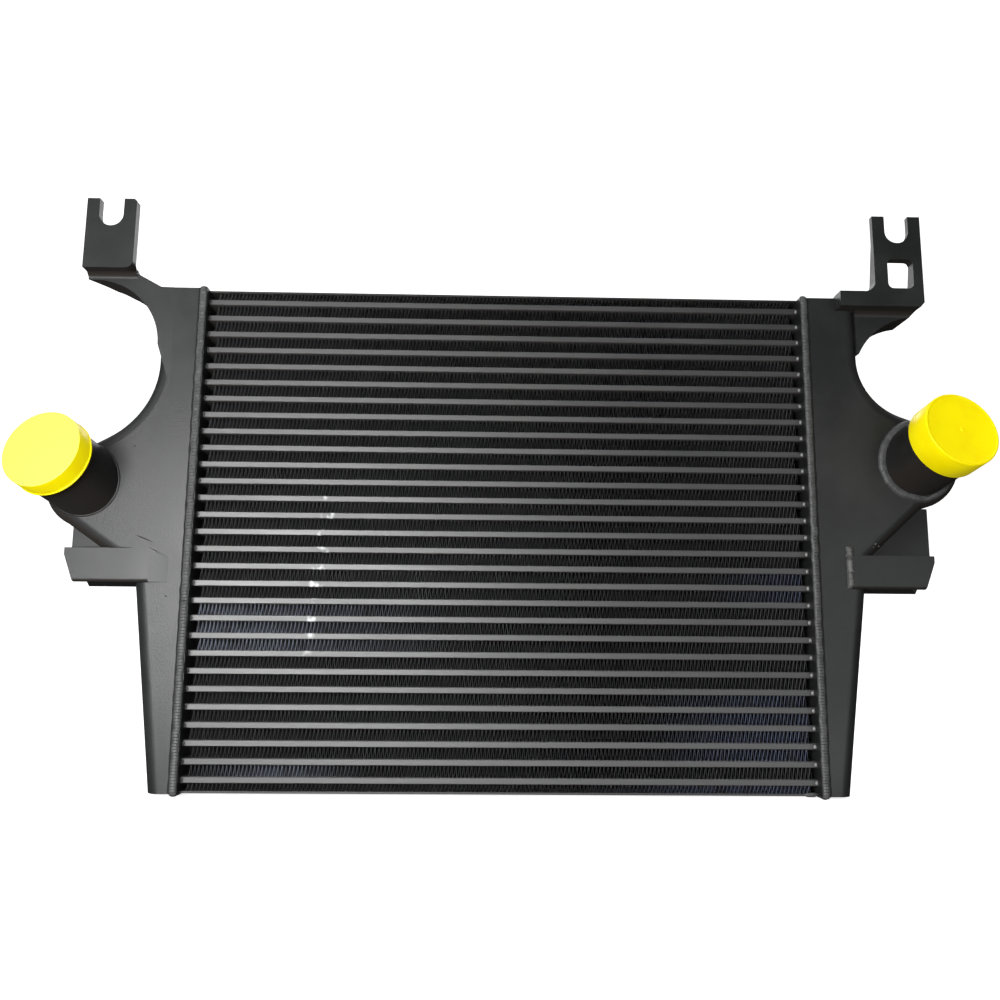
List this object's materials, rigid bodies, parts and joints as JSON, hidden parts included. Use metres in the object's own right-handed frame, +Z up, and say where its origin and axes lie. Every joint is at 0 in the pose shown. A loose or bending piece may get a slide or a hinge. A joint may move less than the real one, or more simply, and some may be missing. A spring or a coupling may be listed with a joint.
{
  "type": "intercooler",
  "caption": "Air-to-air intercooler: finned bar core between two cast end tanks with slotted lugs, lower brackets and capped hose necks.",
  "frame": {"origin": "middle of the core's underside, on the bottom side plate", "axes": "+X along the tubes, -Y towards the hose necks, +Z up"},
  "size_m": [0.9187, 0.155, 0.5784],
  "materials": {
    "tube_paint": "satin black paint on aluminium",
    "fin_paint": "thin black paint on corrugated aluminium strip",
    "core_paint": "satin black paint",
    "casting_paint": "satin black paint over a slightly grainy casting",
    "neck_paint": "satin black paint",
    "bracket_paint": "satin black paint",
    "weld_paint": "satin black paint over rippled weld beads",
    "cap_plastic": "smooth yellow plastic with a soft sheen"
  },
  "bodies": {
    "root": {"tube_01": "tube_paint", "tube_02": "tube_paint", "tube_03": "tube_paint", "tube_04": "tube_paint", "tube_05": "tube_paint", "tube_06": "tube_paint", "tube_07": "tube_paint", "tube_08": "tube_paint", "tube_09": "tube_paint", "tube_10": "tube_paint", "tube_11": "tube_paint", "tube_12": "tube_paint", "tube_13": "tube_paint", "tube_14": "tube_paint", "tube_15": "tube_paint", "tube_16": "tube_paint", "tube_17": "tube_paint", "tube_18": "tube_paint", "tube_19": "tube_paint", "tube_20": "tube_paint", "tube_21": "tube_paint", "tube_22": "tube_paint", "tube_23": "tube_paint", "tube_24": "tube_paint", "tube_25": "tube_paint", "tube_26": "tube_paint", "tube_27": "tube_paint", "tube_28": "tube_paint", "tube_29": "tube_paint", "fin_pack_01": "fin_paint", "fin_pack_02": "fin_paint", "fin_pack_03": "fin_paint", "fin_pack_04": "fin_paint", "fin_pack_05": "fin_paint", "fin_pack_06": "fin_paint", "fin_pack_07": "fin_paint", "fin_pack_08": "fin_paint", "fin_pack_09": "fin_paint", "fin_pack_10": "fin_paint", "top_side_plate": "core_paint", "bottom_side_plate": "core_paint", "left_header_plate": "core_paint", "right_header_plate": "core_paint", "left_tank": "casting_paint", "right_tank": "casting_paint", "hose_necks": "neck_paint", "left_lower_bracket": "bracket_paint", "right_lower_bracket": "bracket_paint", "left_rim_weld": "weld_paint", "right_rim_weld": "weld_paint", "neck_welds": "weld_paint", "bracket_welds": "weld_paint", "neck_caps": "cap_plastic"}
  },
  "joints": []
}
